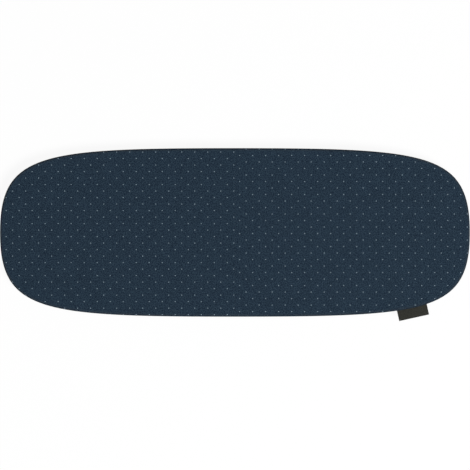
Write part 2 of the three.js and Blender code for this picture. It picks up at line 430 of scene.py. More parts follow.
def mesh_from(name, quads, fields, cloth_map):
    """A smooth mesh with its fields as attributes. It starts as its own flat pattern."""
    mesh = bpy.data.meshes.new(name)
    level = ((0, 0), (0, 1))
    mesh.from_pydata(np.pad(cloth_map, level).tolist(), [], quads.tolist())
    for title, values in fields.items():
        if values.ndim == 1:
            layer, key = mesh.attributes.new(title, "FLOAT", "POINT"), "value"
        else:
            layer, key = mesh.attributes.new(title, "FLOAT_VECTOR", "POINT"), "vector"
            values = np.pad(values, level)
        layer.data.foreach_set(key, values.astype(np.float32).ravel())
    loops = np.zeros(len(mesh.loops), int)
    mesh.loops.foreach_get("vertex_index", loops)
    uv = mesh.uv_layers.new(name="ClothMap")
    uv.data.foreach_set("uv", cloth_map[loops].astype(np.float32).ravel())
    mesh.polygons.foreach_set("use_smooth", np.ones(len(mesh.polygons), bool))
    return link_object(name, mesh)


def section_curve(line):
    curve = bpy.data.curves.new("section", "CURVE")
    curve.dimensions = "3D"
    spline = curve.splines.new("POLY")
    spline.points.add(len(line) - 1)
    for point, (inset, height) in zip(spline.points, line):
        point.co = (inset, 0, height, 1)
    return link_object("section", curve)


def add_tree(piece, tree, **values):
    """Puts a tree on a piece. Its inputs are found by their titles and set by identifier."""
    modifier = piece.modifiers.new(tree.name, "NODES")
    modifier.node_group = tree
    for item in tree.interface.items_tree:
        title = item.name.lower().replace(" ", "_")
        if item.item_type == "SOCKET" and item.in_out == "INPUT" and title in values:
            modifier[item.identifier] = values[title]


def thicken(piece, thickness):
    wall = piece.modifiers.new("Thickness", "SOLIDIFY")
    wall.thickness = thickness
    wall.offset = -1
    wall.use_quality_normals = True


def keep_result(piece, *helpers):
    """Swaps the piece's mesh for what its modifiers made, and removes the helpers."""
    graph = bpy.context.evaluated_depsgraph_get()
    result = bpy.data.meshes.new_from_object(
        piece.evaluated_get(graph), preserve_all_data_layers=True, depsgraph=graph)
    piece.modifiers.clear()
    piece.data = result
    for title in ("rim", "outward", "run", "lift", "rise"):
        if title in result.attributes:
            result.attributes.remove(result.attributes[title])
    for helper in helpers:
        bpy.data.objects.remove(helper)
    return piece


def lay(name, line, fields, cloth_map, finish, wall=None, quads=None):
    """Lays a grid, or a list of points with its quads, along the rim by its section."""
    if quads is None:
        quads = grid_faces(*fields["run"].shape)
    if fields["run"].ndim == 2:
        fields = {title: flattened(values) for title, values in fields.items()}
        cloth_map = flattened(cloth_map)
    piece = mesh_from(name, quads, fields, cloth_map)
    section = section_curve(line)
    add_tree(piece, rim_tree, section=section, fullness=1.0, finish=finish)
    piece.modifiers.new("Weld", "WELD").merge_threshold = WELD
    if wall:
        thicken(piece, wall)
    return keep_result(piece, section)


def surface_area(piece):
    return sum(face.area for face in piece.data.polygons)


def report(piece):
    faces = sum(len(face.vertices) - 2 for face in piece.data.polygons)
    print(piece.name, faces, "triangles,", round(surface_area(piece), 4), "m2")


def on_cover(piece, slot, *nodes):
    """Puts a finished piece on the cover's body, in the place of its CAD nodes."""
    if nodes:
        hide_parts(*nodes)
    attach(piece, "cover")
    report(piece)


print("piece helpers ready")

# %% [markdown]
# ## Shared effects for the finishes
# Three effects are made once, for every finish that needs them. Threads pass over and
# under each other, pin dots sit on a staggered grid, and loose fibres make the colour a
# little uneven. Each is a group that puts out values only, and each finish places it with
# its own sizes.
#
# The first is the plain weave. The product of two sine waves is positive where the warp
# lies on top and negative where the weft does. Every pair of threads also gets a tone that
# wanders along it, because yarn is spun with thin, dark and thick, pale stretches. The
# thread on top shows its own tone, so the stretches make short dashes in both directions.

# %% Plain weave
YARN_STRIDE = 5.37
YARN_LAYERS = {"X": 0.3, "Y": 9.6}
YARN_RANGE = (0.36, 0.64)
SLUBS_PER_METRE = 900.0


def build_weave():
    tree, given, result = new_tree(
        "Plain weave", "ShaderNodeTree",
        [("Place", "Vector"), ("Threads per metre", "Float", 2200.0)],
        [("Height", "Float"), ("Warp on top", "Float"), ("Yarn", "Float")])
    place = split(tree, given["Place"])
    waves, yarns = [], []
    for axis, other in (("X", "Y"), ("Y", "X")):
        turns = multiply(tree, place[axis], given["Threads per metre"])
        waves.append(do_math(tree, "SINE", multiply(tree, turns, math.pi)))
        pair = do_math(tree, "FLOOR", multiply(tree, turns, 0.5))
        number = multiply(tree, pair, YARN_STRIDE)
        along = multiply(tree, place[other], SLUBS_PER_METRE)
        spot = combine(tree, X=number, Y=along, Z=YARN_LAYERS[axis])
        noise = add_node(tree, "ShaderNodeTexNoise", {"Vector": spot, "Scale": 1.0, "Detail": 0.0})
        yarns.append(noise.outputs["Fac"])
    crossing = multiply(tree, *waves)
    warp_on_top = do_math(tree, "GREATER_THAN", crossing, 0.0)
    on_top = add_node(tree, "ShaderNodeMix", {0: warp_on_top, 2: yarns[1], 3: yarns[0]})
    tree.links.new(do_math(tree, "ABSOLUTE", crossing), result["Height"])
    tree.links.new(warp_on_top, result["Warp on top"])
    tree.links.new(map_range(tree, on_top.outputs[0], *YARN_RANGE), result["Yarn"])
    return tree


weave_group = build_weave()
print("weave group", len(weave_group.nodes), "nodes")

# %% [markdown]
# ## Pin dots
# The dots stand at the corners and centres of squares, so along both diagonals they lie on
# whole numbers. The distance to the nearest whole pair gives a round dot with a soft edge.

# %% Pin dots
def build_pin_dots():
    tree, given, result = new_tree(
        "Pin dots", "ShaderNodeTree",
        [("Place", "Vector"), ("Pitch", "Float", 0.0225), ("Radius", "Float", 0.0007),
         ("Softness", "Float", 0.0002)],
        [("Mask", "Float")])
    place = split(tree, given["Place"])
    squares = []
    for operation in ("ADD", "SUBTRACT"):
        diagonal = do_math(tree, operation, place["X"], place["Y"])
        diagonal = do_math(tree, "DIVIDE", diagonal, given["Pitch"])
        off = do_math(tree, "SUBTRACT", diagonal, do_math(tree, "ROUND", diagonal))
        squares.append(multiply(tree, off, off))
    half = multiply(tree, do_math(tree, "ADD", *squares), 0.5)
    distance = multiply(tree, do_math(tree, "SQRT", half), given["Pitch"])
    near, far = (do_math(tree, operation, given["Radius"], given["Softness"])
                 for operation in ("SUBTRACT", "ADD"))
    mask = map_range(tree, distance, near, far, 1.0, 0.0, interpolation_type="SMOOTHSTEP")
    tree.links.new(mask, result["Mask"])
    return tree


dots_group = build_pin_dots()
print("dots group", len(dots_group.nodes), "nodes")

# %% [markdown]
# ## Loose fibres
# Fine noise gives single fibres, and a coarse one gives the clouds of uneven dye. A middle
# one gives slubs, soft spots where a few threads are thicker and paler. Slubs lie in the
# flat cloth, so their noise is two-dimensional, which also keeps the spots alike in size.

# %% Loose fibres
FIBRE_RANGE = (0.25, 0.75)
FIBRE_ROUGHNESS = 0.6


def build_fibres():
    tree, given, result = new_tree(
        "Loose fibres", "ShaderNodeTree",
        [("Place", "Vector"), ("Fine", "Float", 900.0), ("Middle", "Float", 680.0),
         ("Coarse", "Float", 40.0)],
        [("Fleck", "Float"), ("Slub", "Float"), ("Cloud", "Float")])
    for title, scale, detail, kind in (("Fleck", "Fine", 3.0, "3D"), ("Slub", "Middle", 0.0, "2D"),
                                       ("Cloud", "Coarse", 2.0, "3D")):
        noise = add_node(tree, "ShaderNodeTexNoise", {
            "Vector": given["Place"], "Scale": given[scale], "Detail": detail,
            "Roughness": FIBRE_ROUGHNESS}, noise_dimensions=kind)
        tree.links.new(map_range(tree, noise.outputs["Fac"], *FIBRE_RANGE), result[title])
    return tree


fibre_group = build_fibres()
print("fibre group", len(fibre_group.nodes), "nodes")

# %% [markdown]
# ## Finishes
# Cotton is matt with a faint bloom of fibre ends, so it has hardly any gloss and a little
# sheen. More gloss would mirror the white room at a low angle and turn navy grey. A colour
# is written as it should look on average, with the spread that its yarns have to both
# sides. Softness says how much of that spread lies in soft spots instead of in threads.
# The weave and the fibres also feed a bump, because threads are far too small to model.
#
# The dotted cotton also carries painted light. The crest of the roll, where the cloth is
# pulled over the foam's edge, has a painted highlight, a little paler. Below it the cloth has
# painted shade, a darker strip. Both are attributes of the face's mesh, and the
# skirt, which has neither, reads them as nothing.

# %% A woven finish with or without dots
NAVY = (0.0195, 0.0350, 0.0548)
NAVY_SPREAD = (0.0185, 0.0314, 0.0400)
DOT_COLOUR = (0.345, 0.455, 0.535, 1)
TAPE_NAVY = (0.0145, 0.0260, 0.0410)
TAPE_SPREAD = (0.0040, 0.0060, 0.0080)
THREAD_NAVY = (0.0300, 0.0480, 0.0700)
LABEL_GREY = (0.0240, 0.0240, 0.0195)
LABEL_GREY_SPREAD = (0.0080, 0.0080, 0.0065)
ELASTIC_WHITE = (0.78, 0.77, 0.74)
FAINT_SPREAD = (0.004, 0.004, 0.004)
DOT_PITCH = 22.505 * MM
DOT_RADIUS = 0.67 * MM
WEAVE_RELIEF = 0.7
FIBRE_RELIEF = 0.5
DOT_RELIEF = 0.6
CLOUD_CONTRAST = 0.06
# Painted highlight on the crest of the roll, and how much of it shows.
PAINTED_HIGHLIGHT_NAVY = (0.0400, 0.0500, 0.0580, 1)
PAINTED_HIGHLIGHT_SHARE = 0.8
# Painted shade that darkens the strip below the crest.
PAINTED_SHADE_TINT = (0.68, 0.68, 0.68, 1)
SHEEN_ROUGHNESS = 0.45


def shade(colour, amount):
    """A darker and a lighter tone of one colour."""
    return [tuple(part * (1 + sign * amount) for part in colour[:3]) + (1,) for sign in (-1, 1)]


def mix_colour(tree, share, first, second, blend_type="MIX"):
    return add_node(tree, "ShaderNodeMix", {0: share, 6: first, 7: second}, data_type="RGBA",
                    blend_type=blend_type).outputs[2]


def place_group(tree, group, sources):
    return add_node(tree, "ShaderNodeGroup", sources, node_tree=group).outputs


def surface_value(tree, name):
    return add_node(tree, "ShaderNodeAttribute", attribute_name=name).outputs["Fac"]


def new_material(name):
    material = bpy.data.materials.new(name)
    material.use_nodes = True
    return material, material.node_tree


def coordinates(tree, kind):
    return add_node(tree, "ShaderNodeTexCoord").outputs[kind]


def dress(tree, tone, height, bump, constants, strength=0.6):
    """Joins colour and relief to the shader and sets its constant values."""
    shader = tree.nodes["Principled BSDF"]
    relief = add_node(tree, "ShaderNodeBump", {
        "Height": height, "Strength": strength, "Distance": bump})
    tree.links.new(tone, shader.inputs["Base Color"])
    tree.links.new(relief.outputs["Normal"], shader.inputs["Normal"])
    for title, value in constants.items():
        shader.inputs[title].default_value = value


def woven_finish(name, colour, spread, threads, softness=0.0, dots=False, sheen=0.03,
                 roughness=0.85, gloss=0.02, contrast=0.10, flecks=0.08, bump=0.12 * MM,
                 kind="UV"):
    """A cloth of one colour with its spread, and so many threads to the metre."""
    material, tree = new_material(name)
    place = coordinates(tree, kind)
    weave = place_group(tree, weave_group, {"Place": place, "Threads per metre": threads})
    fibres = place_group(tree, fibre_group, {"Place": place})
    uneven = add_node(tree, "ShaderNodeMix", {0: softness, 2: weave["Yarn"], 3: fibres["Slub"]})
    dark, light = (tuple(max(part + sign * by, 0) for part, by in zip(colour, spread)) + (1,)
                   for sign in (-1, 1))
    tone = mix_colour(tree, uneven.outputs[0], dark, light)
    for effect, amount in ((weave["Warp on top"], contrast), (fibres["Cloud"], CLOUD_CONTRAST),
                           (fibres["Fleck"], flecks)):
        tint = mix_colour(tree, effect, *shade((1, 1, 1), amount))
        tone = mix_colour(tree, 1.0, tone, tint, "MULTIPLY")
    height = do_math(tree, "ADD", multiply(tree, weave["Height"], WEAVE_RELIEF),
                     multiply(tree, fibres["Fleck"], FIBRE_RELIEF))
    if dots:
        # Painted highlight: the crest of the roll is made paler, unevenly.
        painted_highlight = multiply(tree, surface_value(tree, "painted_crest_highlight"), PAINTED_HIGHLIGHT_SHARE)
        painted_highlight = multiply(tree, painted_highlight, fibres["Slub"])
        tone = mix_colour(tree, painted_highlight, tone, PAINTED_HIGHLIGHT_NAVY)
        # Painted shade: the strip below the crest is darkened.
        tone = mix_colour(tree, surface_value(tree, "under_roll"), tone, PAINTED_SHADE_TINT, "MULTIPLY")
        mask = place_group(tree, dots_group, {
            "Place": place, "Pitch": DOT_PITCH, "Radius": DOT_RADIUS})["Mask"]
        tone = mix_colour(tree, mask, tone, DOT_COLOUR)
        height = do_math(tree, "ADD", height, multiply(tree, mask, DOT_RELIEF))
    dress(tree, tone, height, bump, {
        "Roughness": roughness, "Specular IOR Level": gloss, "Sheen Weight": sheen,
        "Sheen Roughness": SHEEN_ROUGHNESS})
    return material


dotted_cotton = woven_finish("dotted navy cotton", NAVY, NAVY_SPREAD, threads=2000,
                             softness=0.6, dots=True, flecks=0.12)
hem_tape = woven_finish("navy bias tape", TAPE_NAVY, TAPE_SPREAD, threads=3000, contrast=0.14)
navy_thread = woven_finish("navy thread", THREAD_NAVY, FAINT_SPREAD, threads=4000,
                           bump=0.05 * MM, kind="Object")
label_ribbon = woven_finish("label ribbon", LABEL_GREY, LABEL_GREY_SPREAD, threads=2600,
                            roughness=0.7, gloss=0.12, contrast=0.22, bump=0.16 * MM)
elastic_knit = woven_finish("knitted elastic", ELASTIC_WHITE, FAINT_SPREAD, threads=1300,
                            sheen=0.1, contrast=0.06, bump=0.25 * MM)
print("woven finishes", [m.name for m in bpy.data.materials])

# %% [markdown]
# ## Foam and felt
# Foam is a froth of open cells, and needled felt is a mat of recycled fibres with a few
# dark ones. The cells of a Voronoi texture pit both, small ones the foam and wide ones the
# felt, and fine noise gives them their flecks.

# %% Foam and felt finishes
FOAM_CREAM = (0.68, 0.66, 0.60, 1)
FOAM_PIT = (0.45, 0.42, 0.36, 1)
FELT_GREY = (0.60, 0.58, 0.53, 1)
FELT_DARK = (0.16, 0.17, 0.19, 1)
FLECK_RELIEF = 0.8


def pad_finish(name, colour, fleck_colour, cell_scale, fleck_share, bump):
    material, tree = new_material(name)
    place = coordinates(tree, "Object")
    fleck = place_group(tree, fibre_group, {
        "Place": place, "Fine": 1500.0, "Coarse": 60.0})["Fleck"]
    cells = add_node(tree, "ShaderNodeTexVoronoi", {"Vector": place, "Scale": cell_scale})
    tone = mix_colour(tree, fleck, *shade(colour, amount=0.09))
    tone = mix_colour(tree, map_range(tree, fleck, fleck_share, 1.0), tone, fleck_colour)
    height = do_math(tree, "ADD", cells.outputs["Distance"], multiply(tree, fleck, FLECK_RELIEF))
    dress(tree, tone, height, bump, {"Roughness": 0.95, "Specular IOR Level": 0.15},
          strength=0.8)
    return material


open_foam = pad_finish("open-cell foam", FOAM_CREAM, FOAM_PIT, cell_scale=1400.0,
                       fleck_share=0.62, bump=0.35 * MM)
needled_felt = pad_finish("needled felt", FELT_GREY, FELT_DARK, cell_scale=500.0,
                          fleck_share=0.60, bump=0.30 * MM)
print("pad finishes", open_foam.name, needled_felt.name)

# %% [markdown]
# ## The face cloth
# The face is cut as two panels, sewn together across the middle. Each panel lies flat on the
# foam, rolls over the rim and turns in at the rim seam. Its cloth map is the flat pattern:
# over the rim it goes on in the same direction, so the dots follow the cloth and don't
# stretch. The two panels were cut at different places of the print, so each map has an
# origin of its own and the grid of dots jumps at the seam.

# %% Sections and columns of the face
FACE_BORDER = 9 * MM
CORNER = 0.7 * MM
SEAM_ROUND = 0.75 * MM
SEAM_CENTRE = 0.45 * MM
SEAM_TOUCH = 0.01 * MM
SEAM_MARKS = (SEAM_TOUCH, 0.06 * MM, 0.14 * MM, 0.24 * MM, 0.34 * MM, SEAM_CENTRE, 0.8 * MM,
              1.4 * MM)
RIM_ROW_STEP = 1.2 * MM
FACE_COLUMN_STEP = 2.4 * MM
DOT_ORIGIN = {"left": (-1.98 * MM, 4.04 * MM), "right": (8.14 * MM, -1.90 * MM)}
HALF_ROUND = PERIMETER / 2
HALF_START = {"right": 0.0, "left": HALF_ROUND}
SIDES = {"left": -1, "right": 1}

face_line = rounded_section([
    (FACE_BORDER, COVER_TOP, 0),
    (0, COVER_TOP, RIM_RADIUS),
    (0, RIM_SEAM, CORNER),
    (SEAM_EDGE, RIM_SEAM, 0),
])
face_runs = section_runs(face_line, RIM_ROW_STEP)


def seam_columns(step, extra=()):
    """Distances along one half of the rim, close together where the cloth dips at a seam."""
    count = math.ceil(HALF_ROUND / step)
    main = np.linspace(0, HALF_ROUND, count + 1)[1:-1]
    start = np.array(sorted([*SEAM_MARKS, *extra]))
    main = main[(main > start[-1] + step / 2) & (main < HALF_ROUND - start[-1] - step / 2)]
    return np.concatenate([start, main, HALF_ROUND - start[::-1]])


def seam_dip(along):
    """How far the cloth dips where it folds down into the seam at either end of a half."""
    away = np.minimum(along, HALF_ROUND - along)
    reach = np.clip(SEAM_CENTRE - away, 0, SEAM_ROUND)
    return SEAM_ROUND - np.sqrt(SEAM_ROUND**2 - reach**2)


print("face section", len(face_line), "points,", len(face_runs), "rows")

# %% [markdown]
# ## Puckers and the turned-in seam edge
# Where the rim turns, the edge of the face is eased into the seam, which leaves small soft
# puckers below the roll. They only go inwards, so the outline stays true. The painted
# highlight on the crest and the painted shade on the strip below it follow from how far
# round the roll a point lies. The seam edges also part a little where the label is sewn in
# between them.

# %% Waves and marks of the face
PUCKER_WAVES = 236
PUCKER_DEPTH = 0.30 * MM
SIDE_PUCKER_DEPTH = 0.04 * MM
PAD_WAVE = 0.04 * MM
WAVE_X, WAVE_Y = 23 * MM, 19 * MM
SHIFT_X, SHIFT_Y = 0.7, 0.2
SLANT_X, SLANT_Y = 41 * MM, 33 * MM
LABEL_SHARE = 0.4415
LABEL_WIDTH = 53 * MM
LABEL_REACH = 17.6 * MM
RIBBON = 0.4 * MM
LABEL_SPREAD = 0.42 * MM
LABEL_EASE = 3 * MM
# Where along the section the painted highlight on the crest and the painted shade below it lie.
CREST = FACE_BORDER - RIM_RADIUS + 0.6 * MM
CREST_START, CREST_END = CREST - 1.6 * MM, CREST + 1.4 * MM
STRIP_START, STRIP_END = CREST + 0.5 * MM, CREST + 1.9 * MM

label_root = quarter_point(LABEL_SHARE) * (1, -1)
label_along = HALF_ROUND - np.interp(
    label_root[0], outline[:OUTLINE_STEPS, 0], outline_run[:OUTLINE_STEPS])
label_out = on_rim(np.array(label_along))[1]


def beside_label(along):
    """1 where the label is sewn into the seam, 0 away from it, in columns."""
    away = np.abs(along - label_along)
    return 1 - smooth_step(away, LABEL_WIDTH / 2, LABEL_WIDTH / 2 + LABEL_EASE)[:, None]


def pucker(along):
    """Depth of the puckers, in columns."""
    depth = SIDE_PUCKER_DEPTH + (PUCKER_DEPTH - SIDE_PUCKER_DEPTH) * turn_weight(along)
    return (depth * ripple(along, PUCKER_WAVES, seed=11))[:, None]


def pad_waves(x, y):
    """The foam under the cloth is never quite even."""
    return PAD_WAVE * (np.sin(x / WAVE_X + SHIFT_X) * np.sin(y / WAVE_Y + SHIFT_Y)
                       + np.sin(x / SLANT_X - y / SLANT_Y))


def painted_roll_light(run):
    """The painted highlight on the crest of the roll and the painted shade on the strip below it."""
    painted_crest_highlight = smooth_step(run, CREST_START, CREST) * (1 - smooth_step(run, CREST, CREST_END))
    return {"painted_crest_highlight": painted_crest_highlight, "under_roll": smooth_step(run, STRIP_START, STRIP_END)}


print("label", round(label_along, 4), "m along the rim")

# %% [markdown]
# ## Two panels with a folded seam edge
# At the centre seam the edge of a panel folds down and back under it, as a pressed-open
# seam does. The fold is a second small grid, welded to the panel's first and last columns.

# %% Make the two face panels
FOLD_DEPTH = 2 * SEAM_ROUND
FOLD_STEPS = 4
TUCK = 2 * MM
WAVE_FADE = 12 * MM
SAME_PLACE_DIGITS = 9


def seam_fold():
    """The seam edge in section: distance from the seam and depth below the face."""
    start = seam_dip(SEAM_TOUCH)
    angle = np.linspace(math.asin((SEAM_CENTRE - SEAM_TOUCH) / SEAM_ROUND), 0, FOLD_STEPS + 1)
    away = np.concatenate([
        np.full(FOLD_STEPS, SEAM_TOUCH), SEAM_CENTRE - SEAM_ROUND * np.sin(angle),
        np.linspace(TUCK, SEAM_EDGE, FOLD_STEPS)])
    depth = np.concatenate([
        np.linspace(start, FOLD_DEPTH - start, FOLD_STEPS + 1)[:-1],
        SEAM_ROUND + SEAM_ROUND * np.cos(angle), np.full(FOLD_STEPS, FOLD_DEPTH)])
    return away, depth


def face_panel(side):
    half = seam_columns(FACE_COLUMN_STEP)
    along = half + HALF_START[side]
    inside = flat_rows(along, FACE_BORDER, FLAT_ROW_STEP)
    fields = rim_fields(along, face_runs, inside)
    run, seam_run = fields["run"], face_runs[-1] - SEAM_EDGE
    wall = smooth_step(run, FACE_BORDER - RIM_RADIUS / 2, seam_run)
    tucked = smooth_step(run, seam_run, seam_run + TUCK)
    fields["lift"] = seam_dip(half)[:, None] + pucker(along) * wall * (1 - tucked)
    rise = LABEL_SPREAD * beside_label(along) * smooth_step(run, seam_run - MM, seam_run)
    flat = fields["rim"] - fields["outward"] * (FACE_BORDER - run[..., None])
    edge = np.minimum(1, np.abs(flat[..., 0]) / WAVE_FADE)
    on_foam = run == 0
    fields["rise"] = rise + pad_waves(flat[..., 0], flat[..., 1]) * on_foam * edge
    # Masks for the painted highlight on the crest and the painted shade on the strip below it.
    fields.update(painted_roll_light(run))

    # The folded seam edge hangs on the panel's first and last columns.
    sign = SIDES[side]
    away, depth = seam_fold()
    both_ends = np.concatenate([inside[0, :, 1], inside[-1, :, 1]])
    edge_y = np.unique(both_ends.round(SAME_PLACE_DIGITS))[:, None]
    path = travelled(np.stack([away, depth], -1))
    spots, fold_flat = (np.stack(np.broadcast_arrays(x[None], edge_y), -1)
                        for x in (sign * away, -sign * path))
    fold = {title: np.zeros(spots.shape[:values.ndim]) for title, values in fields.items()}
    fold["rim"] = spots
    fold["lift"] = np.repeat(depth[None], len(edge_y), 0)
    fold_quads = grid_faces(len(edge_y), len(away), first=run.size)[:, ::sign]
    fields = {title: np.concatenate([flattened(values), flattened(fold[title])])
              for title, values in fields.items()}
    cloth_map = np.concatenate([flattened(flat), flattened(fold_flat)]) - DOT_ORIGIN[side]
    quads = np.concatenate([grid_faces(*run.shape), fold_quads])
    return lay(f"face_cloth_{side}", face_line, fields, cloth_map, dotted_cotton, CLOTH, quads)


face_cloth = {side: face_panel(side) for side in SIDES}
for side, piece in face_cloth.items():
    on_cover(piece, "face_cloth", f"{side}_top_panel")

# %% [markdown]
# ## The pads
# Foam and felt are cut to the same outline and lie on each other. The foam's top edge is
# rounded by the cloth that is pulled over it, and its middle gives way under the turned-in
# edges of the centre seam. The felt's lower edge gives way under those of the rim seam, so
# the board lies flat against it.

# %% Make the foam and the felt
PAD_COLUMN_STEP = 5 * MM
PAD_ROW_STEP = 1 * MM
PAD_FLAT_STEP = 7 * MM
GROOVE_HALF = SEAM_EDGE + 0.45 * MM
GROOVE_WALL = 0.2 * MM
GROOVE_DEPTH = 0.9 * MM
GROOVE_MARKS = (3 * MM, 6 * MM, GROOVE_HALF - 0.5 * MM, GROOVE_HALF - GROOVE_WALL, GROOVE_HALF,
                GROOVE_HALF + GROOVE_WALL, GROOVE_HALF + 0.6 * MM)
DIMPLE_X, DIMPLE_Y = 12 * MM, 14 * MM
REBATE_TOP = 1.8 * MM
REBATE_EDGE = SEAM_EDGE + 0.3 * MM
PAD_EDGE = 0.5 * MM
PAD_BORDER = PAD_INSET + FACE_BORDER
FOAM_RADIUS = RIM_RADIUS - PAD_INSET - 0.15 * MM


def pad_layer(name, line, finish, groove=False):
    half = seam_columns(PAD_COLUMN_STEP, GROOVE_MARKS)
    along = np.concatenate([half, half + HALF_ROUND, half[:1] + PERIMETER])
    top = flat_rows(along, PAD_BORDER, PAD_FLAT_STEP)
    bottom = flat_rows(along, float(line[-1][0]), PAD_FLAT_STEP)[:, ::-1]
    fields = rim_fields(along, section_runs(line, PAD_ROW_STEP), top, bottom)
    rim, run = fields["rim"], fields["run"]
    on_top = np.arange(run.shape[1])[None] < top.shape[1]
    dimples = PAD_WAVE * (1 + np.sin(rim[..., 0] / DIMPLE_X) * np.sin(rim[..., 1] / DIMPLE_Y))
    dip = 1 - smooth_step(np.abs(rim[..., 0]), GROOVE_HALF - GROOVE_WALL, GROOVE_HALF + GROOVE_WALL)
    fields["rise"] = -(GROOVE_DEPTH * dip * groove + dimples) * on_top
    fields["lift"] = np.zeros(run.shape)
    flat = rim - fields["outward"] * np.clip(PAD_BORDER - run, 0, None)[..., None]
    return lay(name, line, fields, flat, finish)


foam_line = rounded_section([
    (PAD_BORDER, FOAM_HIGH, 0),
    (PAD_INSET, FOAM_HIGH, FOAM_RADIUS),
    (PAD_INSET, FOAM_LOW, 0.1 * MM),
    (PAD_BORDER, FOAM_LOW, 0),
])
felt_line = rounded_section([
    (PAD_BORDER, FELT_HIGH, 0),
    (PAD_INSET, FELT_HIGH, PAD_EDGE),
    (PAD_INSET, REBATE_TOP, 0.3 * MM),
    (REBATE_EDGE, REBATE_TOP, PAD_EDGE),
    (REBATE_EDGE, FELT_LOW, PAD_EDGE),
    (SEAM_EDGE + FACE_BORDER, FELT_LOW, 0),
])
foam = pad_layer("foam_layer", foam_line, open_foam, groove=True)
felt = pad_layer("felt_layer", felt_line, needled_felt)
on_cover(foam, "foam", "foam_pad")
on_cover(felt, "felt", "felt_pad")

# %% [markdown]
# ## The skirt
# The skirt is one strip of the same cotton on each half. It is sewn to the face at the rim,
# runs down the board's edge, bends under it and ends in the hem. The elastic is shorter
# than the rim, so round the ends the cloth comes together in gathers. They are nothing at
# the seam, begin at the bend and grow evenly towards the hem, as the folds of a cone do.
# They only lift upwards, so the hem rests flat.

# %% Gathers
GATHER_WAVES = 150
GATHER_HEIGHT = 3.3 * MM
SIDE_GATHER_HEIGHT = 0.45 * MM
FINE_SHARE = 0.2
LEAST_SHARE = 0.6
BEND_SHARE = 0.40
BEND_LEAD = 5 * MM
SLACK_WAVES = 41
SKIRT_COLUMN_STEP = 1.4 * MM
SKIRT_ROW_STEP = 1.7 * MM
SKIRT_LABEL_SPREAD = 0.12 * MM
SKIRT_END = BAND_START - 0.3 * MM
BEND_START_RUN = SEAM_EDGE + (RIM_SEAM - SKIRT_BOTTOM) - BEND_RADIUS
BEND_END_RUN = BEND_START_RUN + BEND_RADIUS * math.pi / 2


def gather(along):
    """Height of the gathers at the hem, in columns. Some are fuller than others."""
    height = SIDE_GATHER_HEIGHT + (GATHER_HEIGHT - SIDE_GATHER_HEIGHT) * turn_weight(along)
    coarse = ripple(along, GATHER_WAVES, seed=23)
    both = (1 - FINE_SHARE) * coarse + FINE_SHARE * ripple(along, 2 * GATHER_WAVES, seed=29)
    slack = LEAST_SHARE + (1 - LEAST_SHARE) * ripple(along, SLACK_WAVES, seed=31)
    return (height * both * slack)[:, None]


skirt_line = rounded_section([
    (SEAM_EDGE, RIM_SEAM, 0),
    (0, RIM_SEAM, CORNER),
    (0, SKIRT_BOTTOM, BEND_RADIUS),
    (SKIRT_END, SKIRT_BOTTOM, 0),
])
skirt_runs = section_runs(skirt_line, SKIRT_ROW_STEP)
HEM_RUN = skirt_runs[-1] - (SKIRT_END - HEM_START)


def tape_map(along, run):
    """The flat pattern of a strip: along the rim and across the strip."""
    return np.stack([np.repeat(along[:, None], run.shape[1], 1), run], -1)


def skirt_half(side):
    half = seam_columns(SKIRT_COLUMN_STEP)
    along = half + HALF_START[side]
    fields = rim_fields(along, skirt_runs)
    run = fields["run"]
    grown = BEND_SHARE * smooth_step(run, BEND_START_RUN - BEND_LEAD, BEND_END_RUN)
    grown = grown + (1 - BEND_SHARE) * np.clip((run - BEND_END_RUN) / (HEM_RUN - BEND_END_RUN), 0, 1)
    near_seam = smooth_step(run, SEAM_EDGE - TUCK, SEAM_EDGE) * (
        1 - smooth_step(run, SEAM_EDGE + MM, BEND_START_RUN))
    fields["lift"] = gather(along) * grown + pucker(along) * near_seam + seam_dip(half)[:, None]
    spread = 1 - smooth_step(run, SEAM_EDGE, SEAM_EDGE + MM)
    fields["rise"] = -SKIRT_LABEL_SPREAD * beside_label(along) * spread
    return lay(f"skirt_{side}", skirt_line, fields, tape_map(along, -run), dotted_cotton, CLOTH)


skirt = {side: skirt_half(side) for side in SIDES}
for side, piece in skirt.items():
    on_cover(piece, "skirt_cloth", *[f"{side}_skirt_{part}" for part in SKIRT_PARTS])

# %% [markdown]
# ## Hem: binding and elastic
# Bias tape folds round the skirt's free edge and makes a channel for a flat elastic. Its
# two leaves are pinched together where they are sewn. Tape and elastic rise and fall with
# the skirt's gathers, because they are sewn to it.

# %% Make the binding and the elastic
TAPE = 0.55 * MM
PINCH_END = UNDERTURN - 1.5 * MM
CHANNEL_START = UNDERTURN + 0.8 * MM
HEM_COLUMN_STEP = 1.8 * MM
HEM_MIDDLE = (HEM_LOW + HEM_HIGH) / 2
PINCH = CLOTH / 2 + TAPE + 0.05 * MM
PINCH_ROUND = 2 * MM
FOLD_RADIUS = (HEM_HIGH - HEM_LOW) / 2 - 0.01 * MM
HEM_END = BAND_END + FOLD_RADIUS
BAND_MIDDLE = (BAND_START + BAND_END) / 2
BAND_CORNER = 0.3 * MM


def follow_hem(name, line, finish, spacing, wall=None):
    """A tape with a wall of its own, or a band that closes on itself."""
    along = np.linspace(0, PERIMETER, math.ceil(PERIMETER / HEM_COLUMN_STEP) + 1)
    runs = section_runs(line, spacing)
    fields = rim_fields(along, runs if wall else runs[:-1])
    run = fields["run"]
    fields["lift"] = np.zeros(run.shape)
    fields["rise"] = np.repeat(gather(along), run.shape[1], 1)
    quads = grid_faces(*run.shape, across=not wall)
    return lay(name, line, fields, tape_map(along, run), finish, wall, quads)


